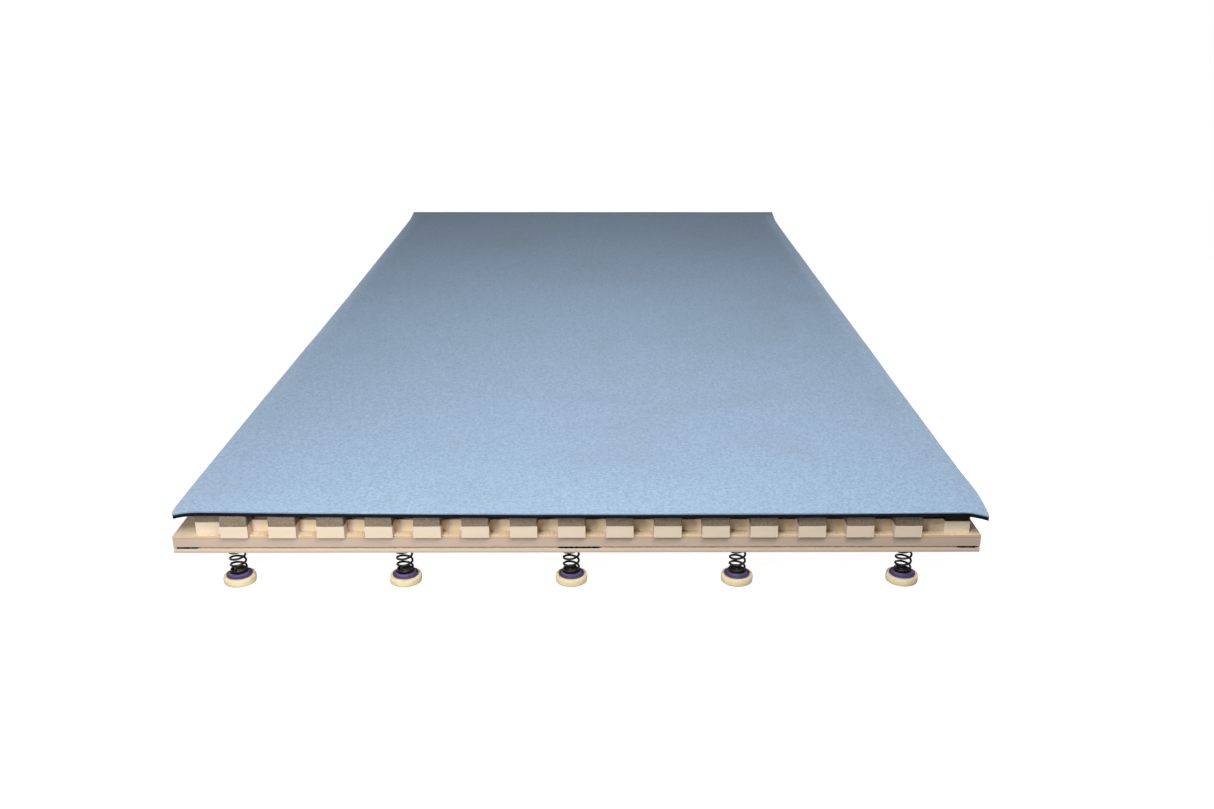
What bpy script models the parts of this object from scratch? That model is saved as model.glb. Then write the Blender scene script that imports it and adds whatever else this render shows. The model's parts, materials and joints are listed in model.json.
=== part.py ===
"""A section of a gymnastics spring floor: a carpeted slat deck on coil-spring feet.

Metres, +Z up, +Y from the front end to the back end. The origin is on the ground, under
the middle of the section's box.
"""

from math import cos, pi, sin, tau

import bmesh
import bpy

# Driving dimensions ------------------------------------------------------------------------

GAP = 0.0003  # clearance between pieces that touch

BOARD_WIDTH = 2.002
BOARD_LENGTH = 3.950
CARPET_WIDTH = 2.008
CARPET_LENGTH = 4.000
CARPET_SHIFT = 0.010  # the carpet lies this far to the right of the boards

# Heights, from the ground up
SPRING_HEIGHT = 0.096  # ground to the lower boards
LOWER_BOARD = 0.012
HOOK_STRIP = 0.004
UPPER_BOARD = 0.030
SLAT = 0.031
FOAM = 0.029
BACKING = 0.009
PILE = 0.004

# Slats, across the section
SLAT_WIDTH = 0.0675
SLAT_PITCH = 0.1185
SLAT_COUNT = 15  # without the two end slats
SLAT_MIDDLE_X = -0.014  # the middle slat, from the boards' centre line
SLAT_PROUD = 0.012  # slat ends past the boards' ends
RIGHT_END_SLAT_X = 0.9425  # from the boards' centre line
RIGHT_END_SLAT_WIDTH = 0.0630
END_SLAT_SETBACK = 0.014  # end slats inside the boards' ends
FOAM_INSET = 0.0005  # foam narrower than its slat, each side

# Cross battens, half-lapped with the slats
BATTEN_SETBACK = 0.0285  # from the boards' ends to the batten's face
BATTEN_THICKNESS = 0.020
LAP_HEIGHT = 0.0155  # the batten's height under a slat

# Hook-and-loop strips: centre from the boards' centre line, and width
HOOK_STRIPS = {"left": (-0.966, 0.053), "middle": (0.004, 0.104), "right": (0.9685, 0.050)}

# Spring feet: a row at each end
FEET_PER_ROW = 5
FOOT_PITCH = 0.420
FOOT_MIDDLE_X = -0.017  # the middle foot, from the boards' centre line
FOOT_SETBACK = 0.036  # the feet's axes, from the boards' ends
PAD_RADIUS = 0.040
PAD_HEIGHT = 0.0185
PAD_ROUNDING = 0.003
CUP_RADIUS = 0.0325
CUP_FLANGE = 0.003
CUP_COLLAR_RADIUS = 0.0250
CUP_HEIGHT = 0.0095
CUP_FLOOR = 0.0090
CUP_LIP = 0.0020
CUP_POST_RADIUS = 0.012
CUP_POST_HEIGHT = 0.0095
CUP_POST_TIP = 0.004
COIL_RADIUS = 0.0200  # to the middle of the wire
WIRE_RADIUS = 0.0022
COIL_TURNS = 5

DROOP_LEFT = 0.008  # how far the carpet's edge hangs past the end slats
DROOP_RIGHT = 0.010

# Fineness
DROOP_STEPS = 4
COIL_STEPS = 10  # per turn
WIRE_SIDES = 4
ROUND_SIDES = 20

# Derived places ----------------------------------------------------------------------------

BOARD_X = -(CARPET_SHIFT + (CARPET_WIDTH - BOARD_WIDTH) / 2) / 2  # centres the whole box on X
CARPET_X = BOARD_X + CARPET_SHIFT
BOARD_END = BOARD_LENGTH / 2
SLAT_END = BOARD_END + SLAT_PROUD
BATTEN_Y = BOARD_END - BATTEN_SETBACK - BATTEN_THICKNESS / 2
LOWER_Z = SPRING_HEIGHT
HOOK_Z = LOWER_Z + LOWER_BOARD
UPPER_Z = HOOK_Z + HOOK_STRIP
SLAT_Z = UPPER_Z + UPPER_BOARD
LAP_Z = SLAT_Z + LAP_HEIGHT
FOAM_Z = SLAT_Z + SLAT
CARPET_Z = FOAM_Z + FOAM
CUP_Z = PAD_HEIGHT + GAP
CUP_INSIDE_Z = CUP_Z + CUP_FLOOR
FOOT_Y = BOARD_END - FOOT_SETBACK
BATTENS = {"front": -BATTEN_Y, "middle": 0.0, "back": BATTEN_Y}


# Materials ---------------------------------------------------------------------------------


def material(name, colour, roughness, metallic=0.0):
    mat = bpy.data.materials.new(name)
    mat.use_nodes = True
    shader = mat.node_tree.nodes["Principled BSDF"]
    shader.inputs["Base Color"].default_value = (*colour, 1)
    shader.inputs["Roughness"].default_value = roughness
    shader.inputs["Metallic"].default_value = metallic
    mat.diffuse_color = (*colour, 1)
    return mat


def make_materials():
    return {
        "pile": material("carpet_pile", (0.36, 0.52, 0.70), 0.95),
        "backing": material("carpet_backing", (0.010, 0.014, 0.024), 0.85),
        "foam": material("foam", (0.23, 0.18, 0.14), 0.95),
        "slat": material("slat_wood", (0.82, 0.70, 0.56), 0.55),
        "board": material("board_wood", (0.62, 0.46, 0.33), 0.60),
        "ply": material("plywood", (0.72, 0.56, 0.40), 0.60),
        "hook": material("hook_and_loop", (0.015, 0.012, 0.010), 0.95),
        "steel": material("spring_steel", (0.030, 0.028, 0.026), 0.35, 1.0),
        "cup": material("cup_plastic", (0.13, 0.08, 0.30), 0.40),
        "pad": material("pad_felt", (0.91, 0.76, 0.45), 0.95),
    }


# Mesh helpers ------------------------------------------------------------------------------


def add_object(name, bm, mat):
    bmesh.ops.recalc_face_normals(bm, faces=bm.faces)
    mesh = bpy.data.meshes.new(name)
    bm.to_mesh(mesh)
    bm.free()
    mesh.materials.append(mat)
    obj = bpy.data.objects.new(name, mesh)
    bpy.context.scene.collection.objects.link(obj)
    return obj


def add_block(name, x, y, z, mat):
    """A box between the two values that each of x, y and z holds."""
    bm = bmesh.new()
    bmesh.ops.create_cube(bm, size=1)
    size = [high - low for low, high in (x, y, z)]
    centre = [(high + low) / 2 for low, high in (x, y, z)]
    bmesh.ops.scale(bm, vec=size, verts=bm.verts)
    bmesh.ops.translate(bm, vec=centre, verts=bm.verts)
    return add_object(name, bm, mat)


def add_extruded(name, outline, offset, mat):
    """A flat outline, extruded by the offset."""
    bm = bmesh.new()
    face = bm.faces.new([bm.verts.new(point) for point in outline])
    made = bmesh.ops.extrude_face_region(bm, geom=[face])
    moved = [item for item in made["geom"] if isinstance(item, bmesh.types.BMVert)]
    bmesh.ops.translate(bm, vec=offset, verts=moved)
    return add_object(name, bm, mat)


def add_lofted(name, rings, mat):
    """Closed rings of the same number of points, joined in order and capped at both ends."""
    bm = bmesh.new()
    rows = [[bm.verts.new(point) for point in ring] for ring in rings]
    sides = len(rows[0])
    for lower, upper in zip(rows, rows[1:]):
        for i in range(sides):
            j = (i + 1) % sides
            bm.faces.new((lower[i], lower[j], upper[j], upper[i]))
    bm.faces.new(rows[0][::-1])
    bm.faces.new(rows[-1])
    obj = add_object(name, bm, mat)
    obj.data.shade_smooth()
    obj.data.set_sharp_from_angle(angle=pi / 5)
    return obj


def turned(name, profile, centre, mat):
    """A solid of revolution about a vertical axis, from the profile's radii and heights."""
    x, y = centre
    angles = [tau * i / ROUND_SIDES for i in range(ROUND_SIDES)]
    rings = [[(x + r * cos(a), y + r * sin(a), z) for a in angles] for r, z in profile]
    return add_lofted(name, rings, mat)


# Places of the repeated pieces ---------------------------------------------------------------


def slat_places():
    """The name, centre X, width and end Y of each slat, from left to right."""
    middle = (SLAT_COUNT - 1) / 2
    inner = [BOARD_X + SLAT_MIDDLE_X + (i - middle) * SLAT_PITCH for i in range(SLAT_COUNT)]
    set_back = BOARD_END - END_SLAT_SETBACK
    places = [("slat_end_left", inner[0] - SLAT_WIDTH - GAP, SLAT_WIDTH, set_back)]
    places += [(f"slat_{i + 1:02d}", x, SLAT_WIDTH, SLAT_END) for i, x in enumerate(inner)]
    places.append(("slat_end_right", BOARD_X + RIGHT_END_SLAT_X, RIGHT_END_SLAT_WIDTH, set_back))
    return places


def foot_places():
    """The name and the axis of each foot, in a row at each end of the section."""
    middle = (FEET_PER_ROW - 1) / 2
    return [
        (f"{end}_{i + 1}", (BOARD_X + FOOT_MIDDLE_X + (i - middle) * FOOT_PITCH, y))
        for end, y in (("front", -FOOT_Y), ("back", FOOT_Y))
        for i in range(FEET_PER_ROW)
    ]


# Pieces --------------------------------------------------------------------------------------


def make_boards(mats):
    """Two panels in each layer, which meet at mid-length."""
    x = (BOARD_X - BOARD_WIDTH / 2, BOARD_X + BOARD_WIDTH / 2)
    for half, y in (("front", (-BOARD_END, -GAP / 2)), ("back", (GAP / 2, BOARD_END))):
        add_block(f"lower_board_{half}", x, y, (LOWER_Z, HOOK_Z), mats["ply"])
        add_block(f"upper_board_{half}", x, y, (UPPER_Z, SLAT_Z), mats["board"])


def make_hook_strips(mats):
    z = (HOOK_Z + GAP, UPPER_Z - GAP)
    for name, (centre, width) in HOOK_STRIPS.items():
        x = (BOARD_X + centre - width / 2, BOARD_X + centre + width / 2)
        add_block(f"hook_strip_{name}", x, (-BOARD_END, BOARD_END), z, mats["hook"])


def make_slats(mats):
    """Each slat has a notch in its underside over every cross batten."""
    half_notch = BATTEN_THICKNESS / 2 + GAP
    for name, x, width, end in slat_places():
        left = x - width / 2
        line = [(-end, SLAT_Z + GAP)]
        for y in BATTENS.values():
            low, high = y - half_notch, y + half_notch
            line += [(low, SLAT_Z + GAP), (low, LAP_Z + GAP), (high, LAP_Z + GAP), (high, SLAT_Z + GAP)]
        line += [(end, SLAT_Z + GAP), (end, FOAM_Z), (-end, FOAM_Z)]
        add_extruded(name, [(left, y, z) for y, z in line], (width, 0, 0), mats["slat"])


def make_battens(mats):
    """Each batten is full height between the slats and has a notch under every slat."""
    notches = [(x - width / 2 - GAP, x + width / 2 + GAP) for _, x, width, _ in slat_places()]
    start, end = notches[0][0], notches[-1][1]
    line = [(start, SLAT_Z + GAP), (start, LAP_Z)]
    for left, right in list(zip(notches, notches[1:]))[1:]:  # the two left slats share a notch
        low, high = left[1], right[0]
        line += [(low, LAP_Z), (low, FOAM_Z), (high, FOAM_Z), (high, LAP_Z)]
    line += [(end, LAP_Z), (end, SLAT_Z + GAP)]
    for name, y in BATTENS.items():
        outline = [(x, y - BATTEN_THICKNESS / 2, z) for x, z in line]
        add_extruded(f"cross_batten_{name}", outline, (0, BATTEN_THICKNESS, 0), mats["slat"])


def make_foam(mats):
    """A foam strip on every slat, joined across the section by a strip on each cross batten."""
    half_batten = BATTEN_THICKNESS / 2
    strips = [
        ((x - width / 2 + FOAM_INSET, x + width / 2 - FOAM_INSET), (-end, end))
        for _, x, width, end in slat_places()
    ]
    z = (FOAM_Z + GAP, CARPET_Z - GAP)
    across = (strips[0][0][0], strips[-1][0][1])
    spans = [(across, (y - half_batten, y + half_batten)) for y in BATTENS.values()] + strips
    foam = add_block("foam_grid", *spans[0], z, mats["foam"])
    for x, y in spans[1:]:
        strip = add_block("foam_strip", x, y, z, mats["foam"])
        strip.hide_render = True
        strip.display_type = "WIRE"
        union = foam.modifiers.new("join", "BOOLEAN")
        union.operation = "UNION"
        union.object = strip


def carpet_line():
    """The carpet's underside across the section: flat on the foam, drooping past the end slats."""
    places = slat_places()
    left_rest = places[0][1] - places[0][2] / 2
    right_rest = places[-1][1] + places[-1][2] / 2
    left_edge = CARPET_X - CARPET_WIDTH / 2
    right_edge = CARPET_X + CARPET_WIDTH / 2
    steps = [i / DROOP_STEPS for i in range(DROOP_STEPS + 1)]
    left = [(left_rest + (left_edge - left_rest) * t, CARPET_Z - DROOP_LEFT * t**2) for t in steps]
    right = [(right_rest + (right_edge - right_rest) * t, CARPET_Z - DROOP_RIGHT * t**2) for t in steps]
    return left[::-1] + right


def make_carpet(mats):
    line = carpet_line()
    for name, low, high, mat in (
        ("carpet_backing", 0, BACKING, mats["backing"]),
        ("carpet_pile", BACKING + GAP, BACKING + PILE, mats["pile"]),
    ):
        section = [(x, z + low) for x, z in line] + [(x, z + high) for x, z in line[::-1]]
        outline = [(x, -CARPET_LENGTH / 2, z) for x, z in section]
        add_extruded(name, outline, (0, CARPET_LENGTH, 0), mat)


def make_spring(name, centre, mats):
    """A coil whose first and last half turns lie flat."""
    low = CUP_INSIDE_Z + GAP + WIRE_RADIUS
    high = SPRING_HEIGHT - GAP - WIRE_RADIUS
    steps = COIL_TURNS * COIL_STEPS
    flat = COIL_STEPS / 2
    rings = []
    for i in range(steps + 1):
        angle = tau * i / COIL_STEPS
        climb = min(max((i - flat) / (steps - 2 * flat), 0), 1)
        z = low + (high - low) * climb
        ring = []
        for j in range(WIRE_SIDES):
            turn = tau * j / WIRE_SIDES
            radius = COIL_RADIUS + WIRE_RADIUS * cos(turn)
            x, y = centre[0] + radius * cos(angle), centre[1] + radius * sin(angle)
            ring.append((x, y, z + WIRE_RADIUS * sin(turn)))
        rings.append(ring)
    add_lofted(name, rings, mats["steel"])


def make_feet(mats):
    cup_rim = CUP_Z + CUP_HEIGHT
    cup_flange = CUP_Z + CUP_FLANGE
    cup_inner = CUP_COLLAR_RADIUS - CUP_LIP
    post_top = CUP_INSIDE_Z + CUP_POST_HEIGHT
    cup_profile = [
        (CUP_RADIUS, CUP_Z),
        (CUP_RADIUS, cup_flange),
        (CUP_COLLAR_RADIUS, cup_flange),
        (CUP_COLLAR_RADIUS, cup_rim),
        (cup_inner, cup_rim),
        (cup_inner, CUP_INSIDE_Z),
        (CUP_POST_RADIUS, CUP_INSIDE_Z),
        (CUP_POST_RADIUS, post_top - CUP_POST_TIP),
        (CUP_POST_RADIUS - CUP_POST_TIP, post_top),
    ]
    pad_profile = [
        (PAD_RADIUS, 0),
        (PAD_RADIUS, PAD_HEIGHT - PAD_ROUNDING),
        (PAD_RADIUS - PAD_ROUNDING, PAD_HEIGHT),
    ]
    for place, centre in foot_places():
        make_spring(f"spring_{place}", centre, mats)
        turned(f"foot_cup_{place}", cup_profile, centre, mats["cup"])
        turned(f"foot_pad_{place}", pad_profile, centre, mats["pad"])


def main():
    for obj in list(bpy.data.objects):
        bpy.data.objects.remove(obj, do_unlink=True)
    mats = make_materials()
    make_boards(mats)
    make_hook_strips(mats)
    make_slats(mats)
    make_battens(mats)
    make_foam(mats)
    make_carpet(mats)
    make_feet(mats)


main()
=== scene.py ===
"""The looks of a carpeted spring floor section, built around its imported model."""

import json
from math import cos, exp, pi, radians, sin, tanh, tau

import bpy
import numpy as np
from mathutils import Matrix, Vector, noise

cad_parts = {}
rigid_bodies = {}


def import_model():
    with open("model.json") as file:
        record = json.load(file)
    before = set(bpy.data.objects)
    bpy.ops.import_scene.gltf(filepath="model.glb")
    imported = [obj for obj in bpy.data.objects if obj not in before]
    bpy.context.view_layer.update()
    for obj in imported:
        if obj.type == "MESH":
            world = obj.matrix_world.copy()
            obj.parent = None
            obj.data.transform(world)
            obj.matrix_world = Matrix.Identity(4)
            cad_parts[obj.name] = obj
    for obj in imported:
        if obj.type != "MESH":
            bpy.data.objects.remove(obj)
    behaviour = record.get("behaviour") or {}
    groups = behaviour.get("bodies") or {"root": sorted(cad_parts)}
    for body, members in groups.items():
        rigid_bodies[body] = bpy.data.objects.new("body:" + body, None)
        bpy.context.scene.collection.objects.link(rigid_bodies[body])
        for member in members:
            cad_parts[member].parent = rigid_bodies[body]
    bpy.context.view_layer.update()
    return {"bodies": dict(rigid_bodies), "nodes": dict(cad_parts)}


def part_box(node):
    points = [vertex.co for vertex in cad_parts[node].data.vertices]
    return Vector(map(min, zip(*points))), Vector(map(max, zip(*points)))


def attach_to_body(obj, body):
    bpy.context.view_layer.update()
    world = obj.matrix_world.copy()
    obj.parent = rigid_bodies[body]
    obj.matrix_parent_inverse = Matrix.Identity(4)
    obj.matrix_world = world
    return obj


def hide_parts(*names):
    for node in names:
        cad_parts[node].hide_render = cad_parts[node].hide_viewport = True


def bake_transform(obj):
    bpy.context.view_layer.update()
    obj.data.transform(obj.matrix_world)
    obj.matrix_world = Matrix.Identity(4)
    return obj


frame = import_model()

# Driving values, with lengths in metres ------------------------------------------------------

ROWS_PER_FOOT = 5  # rows of feet that move with each CAD foot, its own row included
WIRE_RADIUS = 0.0028
COIL_RADIUS = 0.0192
END_TURNS = 0.65  # closed turns at each end of a spring
ACTIVE_TURNS = 3.1
PLY = 0.0015  # thickness of one ply in the boards and slats
PILE_STEP = 0.040  # spacing of the carpet's mesh
END_ZONE = 0.20  # length of the carpet's ends, where its mesh is finer and its back corners lie flat again
HANG_LEFT, HANG_RIGHT = 0.072, 0.062  # width of the carpet's sides that hang
DROP_LEFT, DROP_RIGHT = 0.0087, 0.0125  # how far its side edges hang
ROOM, FLOOR_GLOW = 0.13, 0.95  # strength of the room's light, and of the floor's own glow
CREASE_ANGLE = 40  # degrees, above which an edge is shaded sharp

# Places from the frame -----------------------------------------------------------------------

DECK = "deck"
FEET = [body for body in frame["bodies"] if body != DECK]
SLATS = sorted((n for n in frame["nodes"] if n.startswith("slat_")), key=lambda n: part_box(n)[0].x)
UPPER_TOP, LOWER_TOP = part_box("upper_board_front")[1].z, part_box("lower_board_front")[1].z
CUP_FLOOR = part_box("spring_front_1")[0].z - 0.0003  # the coil stands on it, with the CAD's gap
CUP_RIM = CUP_FLOOR + 0.0005  # top of the collar round the floor
PILE_BOX, BACKING_BOX, FOAM_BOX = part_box("carpet_pile"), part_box("carpet_backing"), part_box("foam_grid")
CARPET_LEFT, CARPET_RIGHT, CARPET_END = BACKING_BOX[0].x, BACKING_BOX[1].x, BACKING_BOX[1].y
BEND_LEFT, BEND_RIGHT = CARPET_LEFT + HANG_LEFT, CARPET_RIGHT - HANG_RIGHT
UNDERSIDE = FOAM_BOX[1].z  # height of the carpet's underside where it lies flat


# Material helpers ----------------------------------------------------------------------------


class Look:
    """One procedural material, with short calls for the nodes that it is made of."""

    def __init__(self, name, roughness, metallic=0.0, **sockets):
        self.material = bpy.data.materials.new(name)
        self.material.use_nodes = True
        self.tree = self.material.node_tree
        self.shader = self.tree.nodes["Principled BSDF"]
        self.set("Roughness", roughness)
        self.set("Metallic", metallic)
        for key, value in sockets.items():
            self.set(key.replace("_", " "), value)
        self.place = self.node("TexCoord").outputs["Object"]

    def set(self, socket, value):
        """A constant or a link on the shader's own socket."""
        if isinstance(value, bpy.types.NodeSocket):
            self.tree.links.new(value, self.shader.inputs[socket])
        else:
            self.shader.inputs[socket].default_value = value

    def node(self, kind, inputs=None, **settings):
        """A node of a kind, with constants or links on its inputs."""
        made = self.tree.nodes.new("ShaderNode" + kind)
        for key, value in settings.items():
            setattr(made, key, value)
        for key, value in (inputs or {}).items():
            if isinstance(value, bpy.types.NodeSocket):
                self.tree.links.new(value, made.inputs[key])
            else:
                made.inputs[key].default_value = value
        return made

    def stretched(self, scale, move=(0, 0, 0)):
        inputs = {"Vector": self.place, "Scale": scale, "Location": move}
        return self.node("Mapping", inputs).outputs["Vector"]

    def noise(self, scale, detail=4, rough=0.55, at=None, distortion=0.0):
        inputs = {
            "Vector": at or self.place,
            "Scale": scale,
            "Detail": detail,
            "Roughness": rough,
            "Distortion": distortion,
        }
        return self.node("TexNoise", inputs).outputs["Fac"]

    def cells(self, scale, at=None):
        return self.node("TexVoronoi", {"Vector": at or self.place, "Scale": scale}).outputs["Distance"]

    def axis(self, letter, source=None):
        parts = self.node("SeparateXYZ", {"Vector": source or self.place})
        return parts.outputs[letter]

    def math(self, operation, a, b=0.0, c=0.0):
        return self.node("Math", {0: a, 1: b, 2: c}, operation=operation).outputs[0]

    def remap(self, value, start=0.0, end=1.0, low=0.0, high=1.0):
        """Low where the value is at start, and high where it is at end."""
        inputs = {"Value": value, "From Min": start, "From Max": end, "To Min": low, "To Max": high}
        return self.node("MapRange", inputs).outputs[0]

    def normal_z(self):
        normal = self.node("NewGeometry").outputs["Normal"]
        return self.axis("Z", normal)

    def ramp(self, value, *stops):
        """Grey levels or colours at places from 0 to 1, as (place, colour)."""
        made = self.node("ValToRGB", {"Fac": value})
        elements = made.color_ramp.elements
        while len(elements) < len(stops):
            elements.new(0.5)
        for element, (place, colour) in zip(elements, stops):
            element.position = place
            element.color = (*colour, 1) if hasattr(colour, "__len__") else (colour, colour, colour, 1)
        return made.outputs["Color"]

    def mix(self, share, a, b):
        """From colour a to colour b by a share. The colours' sockets are inputs 6 and 7, and output 2."""
        a, b = (value if isinstance(value, bpy.types.NodeSocket) else (*value, 1) for value in (a, b))
        return self.node("Mix", {0: share, 6: a, 7: b}, data_type="RGBA").outputs[2]

    def bump(self, height, distance, strength, under=None):
        inputs = {"Height": height, "Distance": distance, "Strength": strength}
        if under is not None:
            inputs["Normal"] = under
        return self.node("Bump", inputs).outputs["Normal"]


# Materials -----------------------------------------------------------------------------------


def pile_look():
    """Needle-punched blue carpet: matted fibres, a fine fleck, faint soiling, and painted shade on its steep
    cut edges.
    """
    look = Look("pile", 0.95, Sheen_Weight=0.15, Sheen_Roughness=0.6)
    fibres = look.noise(900, detail=3, rough=0.6, at=look.stretched((1, 0.45, 1)))
    tufts = look.cells(260)
    fleck = look.noise(125, detail=3, rough=0.6)
    clumps = look.noise(48, detail=2, rough=0.6, at=look.stretched((1.3, 0.8, 1)))
    patches = look.noise(2.2, detail=5, rough=0.6, distortion=0.4)
    smears = look.noise(9, detail=4, rough=0.65, at=look.stretched((1, 0.35, 1), (3.1, 0.7, 0)))
    base = look.ramp(
        fleck, (0.34, (0.240, 0.367, 0.542)), (0.50, (0.322, 0.470, 0.655)), (0.66, (0.410, 0.570, 0.758))
    )
    base = look.mix(look.ramp(clumps, (0.30, 0.34), (0.50, 0.0)), base, (0.24, 0.36, 0.54))
    base = look.mix(look.ramp(clumps, (0.50, 0.0), (0.70, 0.34)), base, (0.42, 0.57, 0.75))
    base = look.mix(look.ramp(fibres, (0.25, 0.0), (0.80, 0.35)), base, (0.385, 0.53, 0.70))
    base = look.mix(look.ramp(tufts, (0.0, 0.30), (0.55, 0.0)), base, (0.185, 0.31, 0.49))
    base = look.mix(look.ramp(patches, (0.52, 0.0), (0.74, 0.26)), base, (0.27, 0.34, 0.42))
    base = look.mix(look.ramp(smears, (0.60, 0.0), (0.78, 0.20)), base, (0.30, 0.32, 0.34))
    # painted shade: faces that stand steeply, the pile's sides and cut edges, are darkened as shade on the
    # carpet's edge
    level = look.math("ABSOLUTE", look.normal_z())
    base = look.mix(look.ramp(level, (0.35, 0.75), (0.90, 0.0)), base, (0.17, 0.22, 0.30))
    look.set("Base Color", base)
    soft = look.bump(look.noise(60, detail=4), 0.0012, 0.35)
    look.set("Normal", look.bump(look.mix(0.5, fibres, tufts), 0.0010, 0.6, soft))
    return look.material


def backing_look():
    """Dark closed-cell foam, with the open cells of its cut edge."""
    look = Look("backing", 0.95, Specular_IOR_Level=0.10)
    cells = look.cells(420)
    shade = look.noise(55, detail=4)
    base = look.ramp(shade, (0.3, (0.004, 0.006, 0.011)), (0.7, (0.009, 0.012, 0.020)))
    base = look.mix(look.ramp(cells, (0.0, 0.5), (0.5, 0.0)), base, (0.002, 0.003, 0.006))
    look.set("Base Color", base)
    look.set("Normal", look.bump(cells, 0.0008, 0.6))
    return look.material


def foam_look(name, dark, mid, light, specks=0.25):
    """Bonded foam: fine crumbs, open pores, dark specks, and the saw's lines along the cut faces."""
    look = Look(name, 0.97, Specular_IOR_Level=0.2)
    crumbs = look.noise(260, detail=4, rough=0.75)
    pores = look.cells(620)
    saw = look.noise(150, detail=3, rough=0.6, at=look.stretched((0.12, 0.12, 3.4)))
    rough_end = look.cells(95, at=look.stretched((1, 1, 1.4)))
    base = look.ramp(crumbs, (0.30, dark), (0.50, mid), (0.70, light))
    base = look.mix(look.ramp(saw, (0.36, 0.55), (0.56, 0.0)), base, dark)
    pore_dark, speck_dark = (tuple(channel * share for channel in dark) for share in (0.5, 0.2))
    base = look.mix(look.ramp(pores, (0.0, 0.35), (0.40, 0.0)), base, pore_dark)
    base = look.mix(look.ramp(rough_end, (0.0, specks), (0.16, 0.0)), base, speck_dark)
    look.set("Base Color", base)
    look.set("Normal", look.bump(look.mix(0.4, pores, look.mix(0.5, crumbs, saw)), 0.0014, 0.7))
    return look.material


def wood_look(name, face, edge_light, edge_dark, bands=()):
    """Birch ply: grain along Y on the faces, and the plies' lines on every cut edge.

    The face has a dark, a middle and a light colour. A band is a height, how softly it starts, and the
    colour of the edge above it.
    """
    roughness, waviness = 0.55, 0.0009  # waviness: how far the plies' lines wander in height
    look = Look(name, roughness, Specular_IOR_Level=0.35)
    is_edge = look.math("LESS_THAN", look.math("ABSOLUTE", look.normal_z()), 0.5)
    streaks = look.noise(14, detail=6, rough=0.65, at=look.stretched((9, 0.55, 9)), distortion=0.5)
    fine = look.noise(90, detail=5, rough=0.7, at=look.stretched((9, 0.35, 9)))
    cloud = look.noise(3.0, detail=3, at=look.stretched((1, 0.4, 1)))
    low, mid, high = face
    grain = look.ramp(streaks, (0.25, low), (0.50, mid), (0.78, high))
    grain = look.mix(look.ramp(fine, (0.40, 0.0), (0.75, 0.30)), grain, low)
    grain = look.mix(look.ramp(cloud, (0.40, 0.0), (0.75, 0.25)), grain, mid)
    height = look.axis("Z")
    wobble = look.noise(25, detail=3, at=look.stretched((1, 1, 0.2)))
    wandered = look.math("ADD", height, look.math("MULTIPLY", wobble, waviness))
    phase = look.math("FRACT", look.math("MULTIPLY", wandered, 1 / (2 * PLY)))
    plies = look.ramp(phase, (0.00, 0.0), (0.06, 1.0), (0.46, 1.0), (0.52, 0.0), (0.94, 0.0), (1.0, 0.05))
    pores = look.noise(600, detail=3, rough=0.7, at=look.stretched((1, 1, 0.5)))
    edge = look.mix(plies, edge_dark, edge_light)
    edge = look.mix(look.ramp(pores, (0.35, 0.35), (0.65, 0.0)), edge, edge_dark)
    long_shade = look.noise(6, detail=4, at=look.stretched((1, 1, 6)))
    edge = look.mix(look.ramp(long_shade, (0.35, 0.0), (0.75, 0.30)), edge, edge_dark)
    for band_z, soft, colour in bands:
        edge = look.mix(look.remap(height, band_z - soft, band_z + soft), edge, colour)
    look.set("Base Color", look.mix(is_edge, grain, edge))
    ridges = look.mix(is_edge, look.mix(0.5, streaks, fine), look.mix(0.6, plies, pores))
    look.set("Normal", look.bump(ridges, 0.0004, 0.5))
    look.set("Roughness", look.remap(fine, low=roughness - 0.08, high=roughness + 0.12))
    return look.material


def hook_look():
    """Black hook-and-loop tape, matted and a little dusty."""
    look = Look("hook_and_loop", 0.95, Specular_IOR_Level=0.1)
    loops = look.cells(700)
    dust = look.noise(80, detail=5, rough=0.7)
    base = look.ramp(loops, (0.0, 0.012), (0.5, 0.004))
    base = look.mix(look.ramp(dust, (0.60, 0.0), (0.85, 0.20)), base, (0.030, 0.025, 0.020))
    look.set("Base Color", base)
    look.set("Normal", look.bump(loops, 0.0010, 0.8))
    return look.material


def steel_look():
    """Black-oiled spring wire, drawn lengthwise, rubbed brighter in places."""
    look = Look("spring_steel", 0.34, metallic=0.3, Specular_IOR_Level=0.6)
    rubbed = look.noise(70, detail=4, rough=0.6)
    drawn = look.noise(500, detail=3, at=look.stretched((1, 1, 0.25)))
    look.set("Base Color", look.ramp(rubbed, (0.35, (0.011, 0.0095, 0.007)), (0.70, (0.028, 0.024, 0.018))))
    look.set("Normal", look.bump(drawn, 0.0002, 0.4))
    return look.material


def zinc_look():
    """Zinc-plated steel, with a fine spangle."""
    look = Look("zinc_steel", 0.35, metallic=1.0)
    spangle = look.node("TexVoronoi", {"Vector": look.place, "Scale": 350.0}).outputs["Color"]
    base = look.ramp(look.axis("X", spangle), (0.0, (0.40, 0.40, 0.38)), (1.0, (0.60, 0.60, 0.57)))
    look.set("Base Color", base)
    look.set("Normal", look.bump(look.noise(900, detail=3), 0.0001, 0.4))
    return look.material


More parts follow.
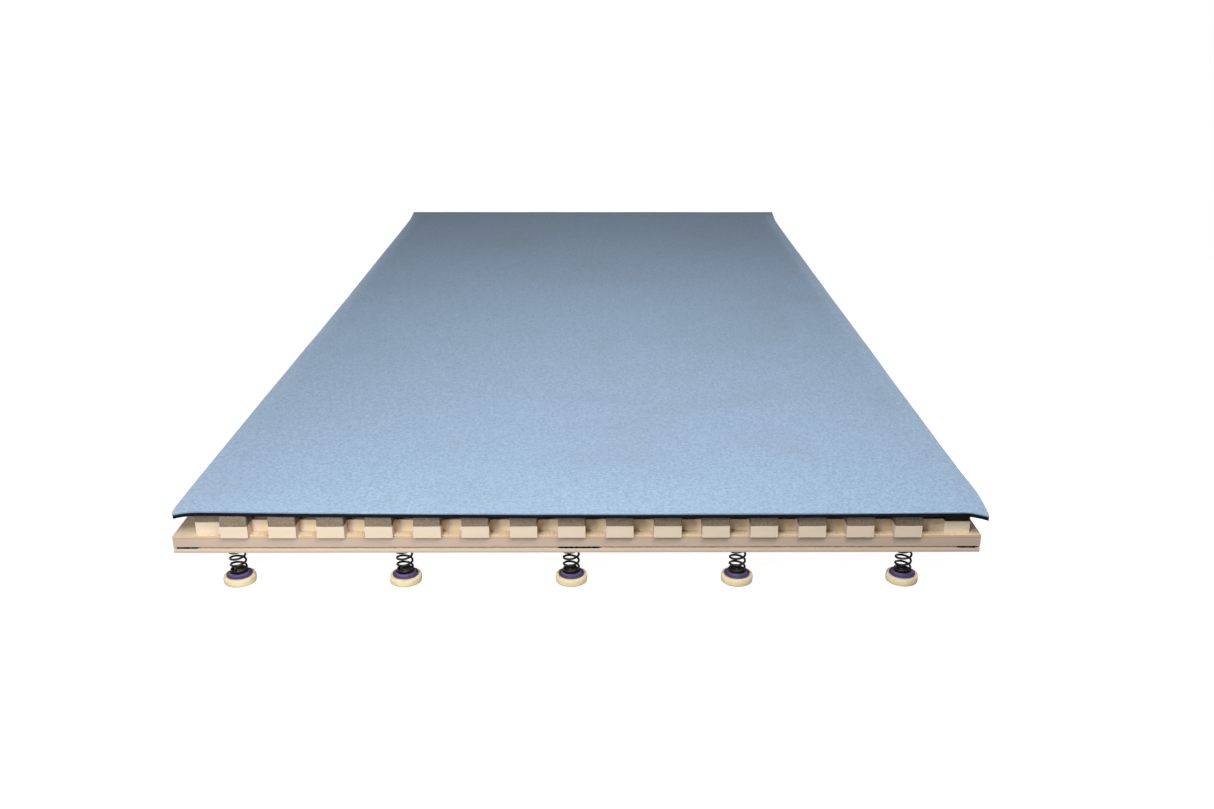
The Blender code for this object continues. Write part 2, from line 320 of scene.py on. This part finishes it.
def cup_look():
    """Moulded purple plastic with a fine grain, nearly black on its floor and its post, and darker on the
    flange's top.
    """
    look = Look("cup_plastic", 0.38, Specular_IOR_Level=0.45)
    cloud = look.noise(45, detail=4)
    scuffs = look.noise(320, detail=4, rough=0.7, at=look.stretched((1, 1, 0.4)))
    base = look.ramp(cloud, (0.3, (0.105, 0.075, 0.215)), (0.7, (0.150, 0.112, 0.285)))
    base = look.mix(look.ramp(scuffs, (0.58, 0.0), (0.80, 0.30)), base, (0.24, 0.21, 0.36))
    height = look.axis("Z")
    slack = 0.0003  # how far a point may be from a face's height and still belong to it
    level = look.math("GREATER_THAN", look.normal_z(), 0.5)
    inside = look.math("MULTIPLY", look.math("GREATER_THAN", height, CUP_FLOOR - slack), level)
    on_rim = look.math("COMPARE", height, CUP_RIM, slack)
    on_post = look.math("GREATER_THAN", height, CUP_RIM + 0.0004)
    # the floor inside the collar, all but its rim, and the post are made nearly black
    dark_inside = look.math("MULTIPLY", inside, look.math("SUBTRACT", 1.0, on_rim))
    dark_inside = look.math("MAXIMUM", dark_inside, on_post)
    # the flange's upward faces are darkened by about half
    dark_flange_top = look.math("MULTIPLY", look.math("LESS_THAN", height, CUP_FLOOR - 0.003), level)
    base = look.mix(look.math("MULTIPLY", dark_flange_top, 0.55), base, (0.030, 0.024, 0.034))
    look.set("Base Color", look.mix(dark_inside, base, (0.020, 0.015, 0.016)))
    look.set("Normal", look.bump(look.noise(1400, detail=2), 0.00012, 0.5))
    return look.material


def pad_look():
    """Cream felt: pressed fibres, and painted shade, darker and yellower, low down where it stands on the
    ground.
    """
    look = Look("pad_felt", 0.96, Sheen_Weight=0.2)
    fibres = look.noise(420, detail=5, rough=0.7, at=look.stretched((1, 1, 1.8)))
    cloud = look.noise(38, detail=4)
    base = look.ramp(cloud, (0.3, (0.85, 0.70, 0.42)), (0.7, (0.93, 0.80, 0.53)))
    base = look.mix(look.ramp(fibres, (0.40, 0.0), (0.75, 0.35)), base, (0.72, 0.57, 0.33))
    # painted shade: the felt darkens over its lowest 5 mm, where it stands on the ground
    painted_foot_shade = look.remap(look.axis("Z"), start=0.005, end=0.0, high=0.6)
    look.set("Base Color", look.mix(painted_foot_shade, base, (0.48, 0.40, 0.24)))
    look.set("Normal", look.bump(fibres, 0.0010, 0.6))
    return look.material


BIRCH_FACE = ((0.60, 0.42, 0.24), (0.74, 0.57, 0.38), (0.83, 0.68, 0.49))
LOOKS = {
    "pile": pile_look(),
    "backing": backing_look(),
    "foam": foam_look("foam", (0.175, 0.135, 0.096), (0.267, 0.205, 0.149), (0.356, 0.279, 0.206)),
    # painted shade: a darker copy of the foam, for the carpet overhang's shade on the strip beside the right
    # end
    "rough_foam": foam_look(
        "rough_foam", (0.110, 0.084, 0.062), (0.212, 0.163, 0.118), (0.305, 0.240, 0.180), specks=0.95
    ),
    "black_foam": foam_look(
        "black_foam", (0.020, 0.012, 0.007), (0.038, 0.026, 0.014), (0.068, 0.046, 0.025)
    ),
    "slat": wood_look(
        "slat_birch",
        face=BIRCH_FACE,
        edge_light=(0.80, 0.68, 0.54),
        edge_dark=(0.71, 0.58, 0.44),
    ),
    # painted light: a lighter copy of the slat birch, standing in for light on the right end slat where the
    # carpet's overhang shades it
    "painted_light_slat": wood_look(
        "painted_light_birch",
        face=((0.68, 0.50, 0.30), (0.82, 0.66, 0.46), (0.90, 0.77, 0.58)),
        edge_light=(0.96, 0.85, 0.68),
        edge_dark=(0.87, 0.74, 0.57),
    ),
    # painted light: the battens' birch is warmer and yellower than the slats', standing in for warm bounce
    # light in the shaded gaps
    "batten": wood_look(
        "batten_birch_painted_bounce",
        face=BIRCH_FACE,
        edge_light=(0.84, 0.695, 0.52),
        edge_dark=(0.75, 0.60, 0.43),
    ),
    "upper": wood_look(
        "upper_board",
        face=((0.80, 0.60, 0.37), (0.92, 0.75, 0.53), (0.96, 0.85, 0.65)),
        edge_light=(0.60, 0.485, 0.39),
        edge_dark=(0.49, 0.39, 0.31),
        bands=(
            (UPPER_TOP - 0.0085, 0.0006, (0.50, 0.36, 0.25)),
            (UPPER_TOP - 0.0045, 0.0008, (0.68, 0.48, 0.32)),
        ),
    ),
    "lower": wood_look(
        "lower_board",
        face=((0.60, 0.42, 0.26), (0.74, 0.57, 0.39), (0.82, 0.67, 0.49)),
        edge_light=(0.60, 0.50, 0.41),
        edge_dark=(0.49, 0.39, 0.31),
        bands=((LOWER_TOP - 0.0075, 0.0006, (0.67, 0.56, 0.43)),),
    ),
    "hook": hook_look(),
    "steel": steel_look(),
    "zinc": zinc_look(),
    "cup": cup_look(),
    "pad": pad_look(),
}


# Mesh helpers --------------------------------------------------------------------------------


def piece(name, points, faces, look, slot, body=DECK):
    """A new object from points and faces, riding on a body if one is given."""
    mesh = bpy.data.meshes.new(name)
    mesh.from_pydata([tuple(p) for p in points], [], [tuple(f) for f in faces])
    mesh.update()
    mesh.materials.append(LOOKS[look])
    mesh.shade_smooth()
    mesh.set_sharp_from_angle(angle=radians(CREASE_ANGLE))
    obj = bpy.data.objects.new(name, mesh)
    bpy.context.scene.collection.objects.link(obj)
    if body:
        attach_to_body(obj, body)
    return obj


def joined(parts):
    """Several (points, faces) as one."""
    points, faces = [], []
    for part_points, part_faces in parts:
        start = len(points)
        points += [tuple(p) for p in part_points]
        faces += [tuple(i + start for i in f) for f in part_faces]
    return points, faces


def loft(rings):
    """Closed rings joined in order and capped, wound so that faces point out of a rising stack."""
    count = len(rings[0])
    points = [p for ring in rings for p in ring]
    faces = [tuple(range(count))[::-1]]
    for k in range(len(rings) - 1):
        for i in range(count):
            j = (i + 1) % count
            faces.append((k * count + i, k * count + j, (k + 1) * count + j, (k + 1) * count + i))
    last = (len(rings) - 1) * count
    faces.append(tuple(range(last, last + count)))
    return points, faces


def turned(profile, centre, sides=48):
    """A solid of revolution from (radius, height) points, low to high round its outside."""
    x, y = centre
    angles = [tau * i / sides for i in range(sides)]
    return loft([[(x + r * cos(a), y + r * sin(a), z) for a in angles] for r, z in profile])


def arc(centre, radius, start=0, sweep=90, steps=4, squash=1.0):
    """Profile points on an arc from a start angle in degrees, its heights squashed."""
    angles = [radians(start + sweep * i / steps) for i in range(steps + 1)]
    return [(centre[0] + radius * cos(a), centre[1] + squash * radius * sin(a)) for a in angles]


def clamped(value):
    return min(1.0, max(0.0, value))


# Carpet --------------------------------------------------------------------------------------


def carpet_sag(x, y):
    """How far the carpet hangs below its flat height near a side. It lies flat again at the back corners."""
    if x < BEND_LEFT:
        over, most, curve = (BEND_LEFT - x) / HANG_LEFT, DROP_LEFT, 2.1
    elif x > BEND_RIGHT:
        over, most, curve = (x - BEND_RIGHT) / HANG_RIGHT, DROP_RIGHT, 1.45
    else:
        return 0.0
    lift = clamped((y - (CARPET_END - END_ZONE)) / 0.19)
    ripple = (0.05 * sin(y * 5.1 + 0.6) + 0.03 * sin(y * 11.7)) * min(1.0, (y + CARPET_END) / 0.3)
    return most * over**curve * (1 + ripple) * (1 - lift * lift * (3 - 2 * lift))


def side_wander(side, y):
    """How far a side edge lies outside its nominal place: pulled in at the front, flared at the back."""
    front, back = y + CARPET_END, y - CARPET_END
    if side < 0:
        skew = -0.001 - 0.005 * tanh((y + 0.70) / 0.5)
        return skew - 0.0088 * exp(-front / 0.016) + 0.0065 * exp(back / 0.08)
    swell = 0.0045 * exp(-(((y + 1.85) / 0.08) ** 2))
    return 0.004 + swell - 0.010 * exp(-front / 0.05) + 0.0095 * exp(back / 0.17)


def front_wander(x):
    """How far the front edge lies forward of its nominal place. The carpet is a little askew and bowed."""
    across = x / 0.85
    return 0.0027 + 0.0044 * across - 0.0093 * across**2


def carpet_grid():
    """The x and y of the carpet's mesh lines, closer together at its sides and ends."""
    flat = np.linspace(BEND_LEFT, BEND_RIGHT, int((BEND_RIGHT - BEND_LEFT) / PILE_STEP))
    sides = np.linspace(CARPET_LEFT, BEND_LEFT, 10), np.linspace(BEND_RIGHT, CARPET_RIGHT, 10)
    near = np.array([0.0, 0.006, 0.013, 0.022, 0.034, 0.050, 0.070, 0.095, 0.125, 0.16])
    inner_end = CARPET_END - END_ZONE
    middle = np.linspace(-inner_end, inner_end, int(2 * inner_end / PILE_STEP) + 1)
    return (
        np.unique(np.concatenate([sides[0], flat, sides[1]])),
        np.concatenate([near - CARPET_END, middle, CARPET_END - near[::-1]]),
    )


def carpet_layer(name, low, high, look, slot, inset, rounding, lumps):
    """A closed sheet between two heights over the carpet's underside.

    Its cut edges lie back by the inset and are rounded, and lumps raise its upper face unevenly.
    """
    edge_zone = 0.09  # width at each side over which the edge's wandering fades out
    xs, ys = carpet_grid()
    nx, ny = len(xs), len(ys)

    def outline(t, along, sign):
        """How far the cut edge wanders in from the nominal edge."""
        return sign * (inset + 0.0005 * noise.noise(Vector((along * 9.1, t * 7.7, 1.7))))

    def at(i, j, level):
        x, y = float(xs[i]), float(ys[j])
        z = UNDERSIDE - carpet_sag(x, y) + level
        left = clamped((CARPET_LEFT + edge_zone - x) / edge_zone)
        right = clamped((x - CARPET_RIGHT + edge_zone) / edge_zone)
        x += side_wander(1, y) * right - side_wander(-1, y) * left
        if i == 0:
            x += outline(0.0, y, 1)
        if i == nx - 1:
            x += outline(1.0, y, -1)
        y -= front_wander(x) * max(0.0, 1 - (y + CARPET_END) / 0.3)
        if j == 0:
            y += outline(2.0, x, 1)
        if j == ny - 1:
            y += outline(3.0, x, -1)
        if level == high:
            wide = noise.noise(Vector((x * 2.3, y * 2.3, 5.0)))
            small = noise.noise(Vector((x * 11, y * 11, 9.0)))
            z += lumps * (wide + 0.6 * small)
        return x, y, z

    levels = [low, low + rounding, high - rounding, high]
    points, index = [], {}

    def put(i, j, k):
        if (i, j, k) not in index:
            x, y, z = at(i, j, levels[k])
            pull = rounding * 0.8 if k in (0, 3) else 0.0
            if i in (0, nx - 1):
                x += pull if i == 0 else -pull
            if j in (0, ny - 1):
                y += pull if j == 0 else -pull
            index[i, j, k] = len(points)
            points.append((x, y, z))
        return index[i, j, k]

    faces = []
    for i in range(nx - 1):
        for j in range(ny - 1):
            faces.append((put(i, j, 3), put(i + 1, j, 3), put(i + 1, j + 1, 3), put(i, j + 1, 3)))
            faces.append((put(i, j, 0), put(i, j + 1, 0), put(i + 1, j + 1, 0), put(i + 1, j, 0)))
    rim = [(i, 0) for i in range(nx - 1)] + [(nx - 1, j) for j in range(ny - 1)]
    rim += [(i, ny - 1) for i in range(nx - 1, 0, -1)] + [(0, j) for j in range(ny - 1, 0, -1)]
    for (a, b), (c, d) in zip(rim, rim[1:] + rim[:1]):
        for k in range(3):
            faces.append((put(a, b, k), put(c, d, k), put(c, d, k + 1), put(a, b, k + 1)))
    return piece(name, points, faces, look, slot)


def make_carpet():
    """The pile and its backing, laid over the foam strips as one sheet."""
    backing_high = PILE_BOX[0].z - BACKING_BOX[0].z
    top = PILE_BOX[1].z - UNDERSIDE
    backing = carpet_layer(
        "carpet_foam_backing", 0.0, backing_high, look="backing", slot="carpet_backing",
        inset=0.0006, rounding=0.0012, lumps=0.0,
    )
    pile = carpet_layer(
        "carpet_blue_pile", backing_high, top, look="pile", slot="carpet_pile",
        inset=0.0, rounding=0.0010, lumps=0.0006,
    )
    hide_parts("carpet_backing")
    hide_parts("carpet_pile")


# Foam strips ---------------------------------------------------------------------------------


def strip_section(x0, x1, z0, z1, corner):
    """A strip's outline across its length, with its upper corners cut off, as (x, z) points."""
    rise, across, steps = z1 - z0, x1 - x0, 6
    section = [(x0 + across * i / steps, z0) for i in range(steps + 1)]
    section += [(x1, z0 + rise * i / 4) for i in (1, 2, 3)] + [(x1, z1 - corner)]
    section += [(x1 - corner - (across - 2 * corner) * i / steps, z1) for i in range(steps + 1)]
    return section + [(x0, z1 - corner)] + [(x0, z0 + rise * i / 4) for i in (3, 2, 1)]


def foam_strip(low, high, seed, roughness):
    """One strip with cut, slightly uneven faces and softened corners, pressed down where the carpet bends."""
    x0, x1, z0, z1 = low.x, high.x, low.z, high.z
    near, spacing, span = [0.0, 0.0012, 0.006, 0.015, 0.03, 0.06], 0.12, high.y - low.y
    steps = near + [i * spacing for i in range(1, int(span / spacing))] + [span - step for step in near[::-1]]
    section = strip_section(x0, x1, z0, z1, corner=0.0012)
    rings = []
    for step in sorted(set(round(s, 5) for s in steps)):
        y = low.y + step
        at_end = step < 1e-6 or step > span - 1e-6
        shrink = 0.0010 if at_end else 0.0
        ring = []
        for x, z in section:
            wander = roughness * noise.noise(Vector((x * 90 + seed, y * 40, z * 120)))
            out = roughness * noise.noise(Vector((x * 140 + seed, z * 260, 3.3))) if at_end else 0.0
            inwards = shrink if x < (x0 + x1) / 2 else -shrink
            sag = carpet_sag(x, y)
            clear = 0.0004 if sag else 0.0  # gap under the hanging carpet
            top = min(z1 - shrink, z1 - sag - clear)
            ring.append((x + (inwards + wander), y + out, min(max(z, z0 + shrink), top)))
        rings.append(ring[::-1])
    return loft(rings)


def make_foam():
    """A strip on every slat. The strip at the right side is black, and the one beside it is roughly cut and
    painted darker as shade from the carpet's overhang.
    """
    # the strip beside the right end takes the darker foam, its painted shade
    kinds = {"foam": SLATS[:-2], "rough_foam": SLATS[-2:-1], "black_foam": SLATS[-1:]}
    roughness = {"rough_foam": 0.0014}
    inset = 0.0005
    for look, slats in kinds.items():
        parts = []
        for slat in slats:
            low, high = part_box(slat)
            low = Vector((low.x + inset, low.y, FOAM_BOX[0].z))
            high = Vector((high.x - inset, high.y, FOAM_BOX[1].z))
            parts.append(foam_strip(low, high, SLATS.index(slat) * 3.7, roughness.get(look, 0.0006)))
        strips = piece(f"{look}_strips", *joined(parts), look, "foam")
        if look == "foam":
            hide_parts("foam_grid")


# Boards, slats, battens and tape -------------------------------------------------------------

FINISHES = {  # by the start of a node's name: its look, and how wide its softened edges are
    # painted light: the right end slat takes the lighter copy of the birch
    "slat_end_right": ("painted_light_slat", 0.0007),
    "slat_": ("slat", 0.0007),
    "cross_batten": ("batten", 0.0007),
    "upper_board": ("upper", 0.0009),
    "lower_board": ("lower", 0.0007),
    "hook_strip": ("hook", 0.0003),
}


def finish_boards():
    """The CAD solids of the wood and the tape stay, with fine softened edges and their looks."""
    for name, obj in frame["nodes"].items():
        finish = next((FINISHES[start] for start in FINISHES if name.startswith(start)), None)
        if finish is None:
            continue
        look, width = finish
        obj.data.materials.clear()
        obj.data.materials.append(LOOKS[look])
        bevel = obj.modifiers.new("softened_edges", "BEVEL")
        bevel.width = width
        bevel.segments = 2
        bevel.limit_method = "ANGLE"
        bevel.harden_normals = True


def make_hook_lips():
    """The tape's pile, squeezed out a little at both ends of each strip and frayed."""
    inset, steps, sides = 0.001, 40, 10
    angles = [tau * i / sides for i in range(sides)]
    lips = []
    for name in (n for n in frame["nodes"] if n.startswith("hook_strip")):
        low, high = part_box(name)
        middle = (low.z + high.z) / 2
        for y in (low.y, high.y):
            rings = []
            for step in range(steps + 1):
                x = low.x + inset + (high.x - low.x - 2 * inset) * step / steps
                taper = 0.5 if step in (0, steps) else 1.0
                swell = taper * (1 + 0.35 * noise.noise(Vector((x * 160, y, 4.0))))
                tall, deep = 0.0024 * swell, 0.0011 * swell
                rings.append([(x, y - deep * cos(a), middle + tall * sin(a)) for a in angles])
            lips.append(loft(rings))
    piece("hook_strip_pile", *joined(lips), "hook", "hook_and_loop")


# Feet ----------------------------------------------------------------------------------------

FOOT_LOOKS = {  # by the kind of part: its look and its slot
    "spring": ("steel", "spring_steel"),
    "foot_cup": ("cup", "cup_plastic"),
    "foot_pad": ("pad", "pad"),
}


def spring_tube(centre, low, high, sides, steps_per_turn):
    """A compression spring with closed end turns, as a tube about a rising helix."""
    wire = WIRE_RADIUS
    turns = 2 * END_TURNS + ACTIVE_TURNS
    start, end = low + wire, high - wire
    closed = 2 * wire * END_TURNS  # rise of each end's closed turns
    first_angle = 0.9  # where the wire starts, in radians
    count = int(turns * steps_per_turn)
    rings = []
    for i in range(count + 1):
        turn = turns * i / count
        if turn < END_TURNS:
            z = start + closed * turn / END_TURNS
        elif turn > turns - END_TURNS:
            z = end - closed * (turns - turn) / END_TURNS
        else:
            z = start + closed + (end - start - 2 * closed) * (turn - END_TURNS) / ACTIVE_TURNS
        angle = tau * turn + first_angle
        ring = []
        for j in range(sides):
            a = tau * j / sides
            radius = COIL_RADIUS + wire * cos(a)
            ring.append((centre[0] + radius * cos(angle), centre[1] + radius * sin(angle), z + wire * sin(a)))
        rings.append(ring)
    return loft(rings)


def cup_solid(centre, low, post_top):
    """A flange with a collar that carries the coil on its floor, round a domed post."""
    outer, collar, post = 0.0325, 0.0250, 0.0119  # radii of the flange, the collar and the post
    edge, soft, dome = 0.0012, 0.0008, 0.004  # rounding of the flange's edge, fine edges and the post's top
    flange = low + 0.0030
    profile = [(outer - soft, low), (outer, low + soft)]
    profile += arc((outer - edge, flange - edge), edge)
    profile += [(collar + 0.0020, flange + 0.0001), (collar + 0.0006, flange + 0.0012)]
    profile += arc((collar - soft, CUP_RIM - soft), soft)
    profile += [(collar - 0.0018, CUP_RIM), (collar - 0.0023, CUP_FLOOR)]
    profile += [(post + 0.0012, CUP_FLOOR), (post, CUP_FLOOR + 0.0012)]
    profile += arc((post - dome, post_top - dome), dome, steps=5)
    profile += [(0.0015, post_top)]
    return turned(profile, centre)


def pad_solid(centre, low, high, radius, seed):
    """A felt puck with pressed, rounded edges, whose side bulges a little."""
    edge, bulge, squash, rows = 0.0026, 0.0007, 0.4, 7
    profile = [(radius - edge, low)]
    profile += arc((radius - edge, low + edge * squash), edge, start=-70, sweep=70, steps=3, squash=squash)
    for share in (row / rows for row in range(1, rows)):
        profile.append((radius + bulge * sin(pi * share), low + edge + (high - low - 2 * edge) * share))
    profile += arc((radius - edge, high - edge), edge, steps=5)
    profile += [(radius * 0.86, high)]
    points, faces = turned(profile, centre, sides=64)
    felted = []
    for x, y, z in points:
        unevenness = 0.010 if low + 0.0005 < z < high - 0.0002 else 0.004
        scale = 1 + unevenness * noise.noise(Vector((x * 130 + seed, y * 130, z * 190)))
        felted.append((centre[0] + (x - centre[0]) * scale, centre[1] + (y - centre[1]) * scale, z))
    return felted, faces


def retainer_solid(centre, board):
    """A washer in the spring's top coil and the domed head of the screw that holds it.

    Their profiles are (radius, depth below the board), with the count of their sides.
    """
    washer = [(0.0150, 0.0040), (0.0162, 0.0034), (0.0162, 0.0005), (0.0158, 0.0003)], 32
    head = [(0.0008, 0.0072), (0.0034, 0.0068), (0.0052, 0.0056), (0.0058, 0.0041)], 24
    parts = []
    for profile, sides in (washer, head):
        parts.append(turned([(radius, board - depth) for radius, depth in profile], centre, sides))
    return joined(parts)


def middle_of(node):
    """The x and y of a CAD node's middle."""
    low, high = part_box(node)
    return (low.x + high.x) / 2, (low.y + high.y) / 2


def foot_solids(place, centres):
    """The springs, cups and pads at some centres, as high and wide as the CAD foot's own."""
    coil, cup, pad = (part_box(f"{kind}_{place}") for kind in FOOT_LOOKS)
    radius = (pad[1].x - pad[0].x) / 2
    end_row, inner_row = (12, 32), (8, 20)  # a wire's sides, and its steps per turn
    detail = [end_row] + [inner_row] * (len(centres) - 1)
    return {
        "spring": [spring_tube(c, coil[0].z, coil[1].z, *count) for c, count in zip(centres, detail)],
        "foot_cup": [cup_solid(c, cup[0].z, cup[1].z) for c in centres],
        "foot_pad": [pad_solid(c, pad[0].z, pad[1].z, radius, c[0] * 31 + c[1] * 17) for c in centres],
    }


def attach(obj, kind, place):
    """Cups and pads ride with their foot, and a spring keeps its place in the world."""
    foot = f"foot_{place}"
    if kind != "spring":
        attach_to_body(obj, foot)
        return
    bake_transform(obj)


def make_feet():
    """Every foot of the section. The rows between the two end rows move with the nearer one."""
    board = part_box("lower_board_front")[0].z
    length = middle_of("foot_pad_back_1")[1] - middle_of("foot_pad_front_1")[1]
    pitch = length / (2 * ROWS_PER_FOOT - 1)
    retainers = []
    for place in (body.removeprefix("foot_") for body in FEET):
        x, y = middle_of(f"foot_pad_{place}")
        inwards = pitch if y < 0 else -pitch
        centres = [(x, y + inwards * row) for row in range(ROWS_PER_FOOT)]
        for kind, made in foot_solids(place, centres).items():
            look, slot = FOOT_LOOKS[kind]
            end_part = piece(f"{kind}_{place}_fine", *made[0], look, slot, body=None)
            inner_parts = piece(f"{kind}s_{place}_inner_rows", *joined(made[1:]), look, slot, body=None)
            for obj in (end_part, inner_parts):
                attach(obj, kind, place)
            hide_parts(f"{kind}_{place}")
        retainers += [retainer_solid(c, board) for c in centres]
    piece("spring_retainers", *joined(retainers), "zinc", None)


# Stage, lights and camera --------------------------------------------------------------------


def make_stage():
    """A plain floor that stays pale to the horizon. Its glow is seen, but doesn't light the section."""
    mesh = bpy.data.meshes.new("floor")
    reach = 60.0
    corners = [(-reach, -reach, 0), (reach, -reach, 0), (reach, reach, 0), (-reach, reach, 0)]
    mesh.from_pydata(corners, [], [(0, 1, 2, 3)])
    floor = bpy.data.objects.new("floor", mesh)
    bpy.context.scene.collection.objects.link(floor)
    look = Look("stage_floor", 0.95, Specular_IOR_Level=0.0)
    look.set("Base Color", (0.35, 0.35, 0.35, 1))
    look.set("Emission Color", (1, 1, 1, 1))
    seen = look.node("LightPath").outputs["Is Camera Ray"]
    look.set("Emission Strength", look.math("MULTIPLY", seen, FLOOR_GLOW))
    mesh.materials.append(look.material)


def make_light(name, place, target, size, power):
    """A soft rectangular light that the camera doesn't see, turned to a target."""
    data = bpy.data.lights.new(name, "AREA")
    data.shape = "RECTANGLE"
    data.size, data.size_y = size
    data.energy = power
    lamp = bpy.data.objects.new(name, data)
    lamp.location = place
    lamp.visible_camera = False
    lamp.rotation_euler = (Vector(target) - Vector(place)).to_track_quat("-Z", "Y").to_euler()
    bpy.context.scene.collection.objects.link(lamp)


def make_lights():
    """A pale room, with soft lights before the front end, above the section, and low round its sides."""
    world = bpy.data.worlds.new("studio")
    world.use_nodes = True
    nodes = world.node_tree.nodes
    sky = nodes["Background"]
    sky.inputs["Color"].default_value = (1, 1, 1, 1)
    sky.inputs["Strength"].default_value = ROOM
    backdrop = nodes.new("ShaderNodeBackground")
    backdrop.inputs["Color"].default_value = (1, 1, 1, 1)
    backdrop.inputs["Strength"].default_value = 1.0
    seen, mixed = nodes.new("ShaderNodeLightPath"), nodes.new("ShaderNodeMixShader")
    links = world.node_tree.links
    links.new(seen.outputs["Is Camera Ray"], mixed.inputs["Fac"])
    links.new(sky.outputs[0], mixed.inputs[1])
    links.new(backdrop.outputs[0], mixed.inputs[2])
    links.new(mixed.outputs[0], nodes["World Output"].inputs["Surface"])
    bpy.context.scene.world = world
    bpy.context.scene.view_settings.view_transform = "Standard"
    make_light("low_left", (-0.95, -3.2, 0.60), (-0.6, -1.95, 0.16), (0.30, 0.25), 8.2)
    make_light("front_left", (-0.75, -4.0, 2.1), (0.3, -2.0, 0.15), (0.45, 0.45), 24.4)
    make_light("front", (-0.58, -4.4, 2.0), (-0.1, -2.0, 0.15), (0.6, 0.8), 12.5)
    make_light("front_right", (0.60, -3.5, 2.6), (0.3, -2.0, 0.15), (0.8, 0.8), 42.0)
    make_light("middle", (0.10, -0.8, 3.0), (0.1, -0.8, 0.2), (0.9, 0.9), 31.0)
    make_light("rear", (0.20, 4.4, 2.8), (0.0, 1.2, 0.2), (1.4, 1.0), 6.0)
    make_light("left_side", (-3.4, 0.4, 0.16), (-1.0, 0.4, 0.13), (3.6, 0.2), 38.0)
    make_light("right_side", (3.4, 0.4, 0.16), (1.0, 0.4, 0.13), (3.6, 0.2), 38.0)
    make_light("back_end", (0.0, 5.2, 0.16), (0.0, 2.0, 0.13), (2.4, 0.2), 24.0)


def make_camera():
    """Slightly right of the middle, looking down along the section."""
    data = bpy.data.cameras.new("camera")
    data.sensor_width = 36.0
    data.lens = 34.77
    camera = bpy.data.objects.new("camera", data)
    down, right, roll = 0.34444, 0.00607, 0.0012
    aim = Matrix.Rotation(-right, 4, "Z") @ Matrix.Rotation(pi / 2 - down, 4, "X")
    place = Matrix.Translation((0.0502, -4.5954, 1.4268))
    camera.matrix_world = place @ aim @ Matrix.Rotation(roll, 4, "Z")
    bpy.context.scene.collection.objects.link(camera)
    bpy.context.scene.camera = camera


make_camera()
make_lights()
make_stage()
finish_boards()
make_hook_lips()
make_foam()
make_carpet()
make_feet()
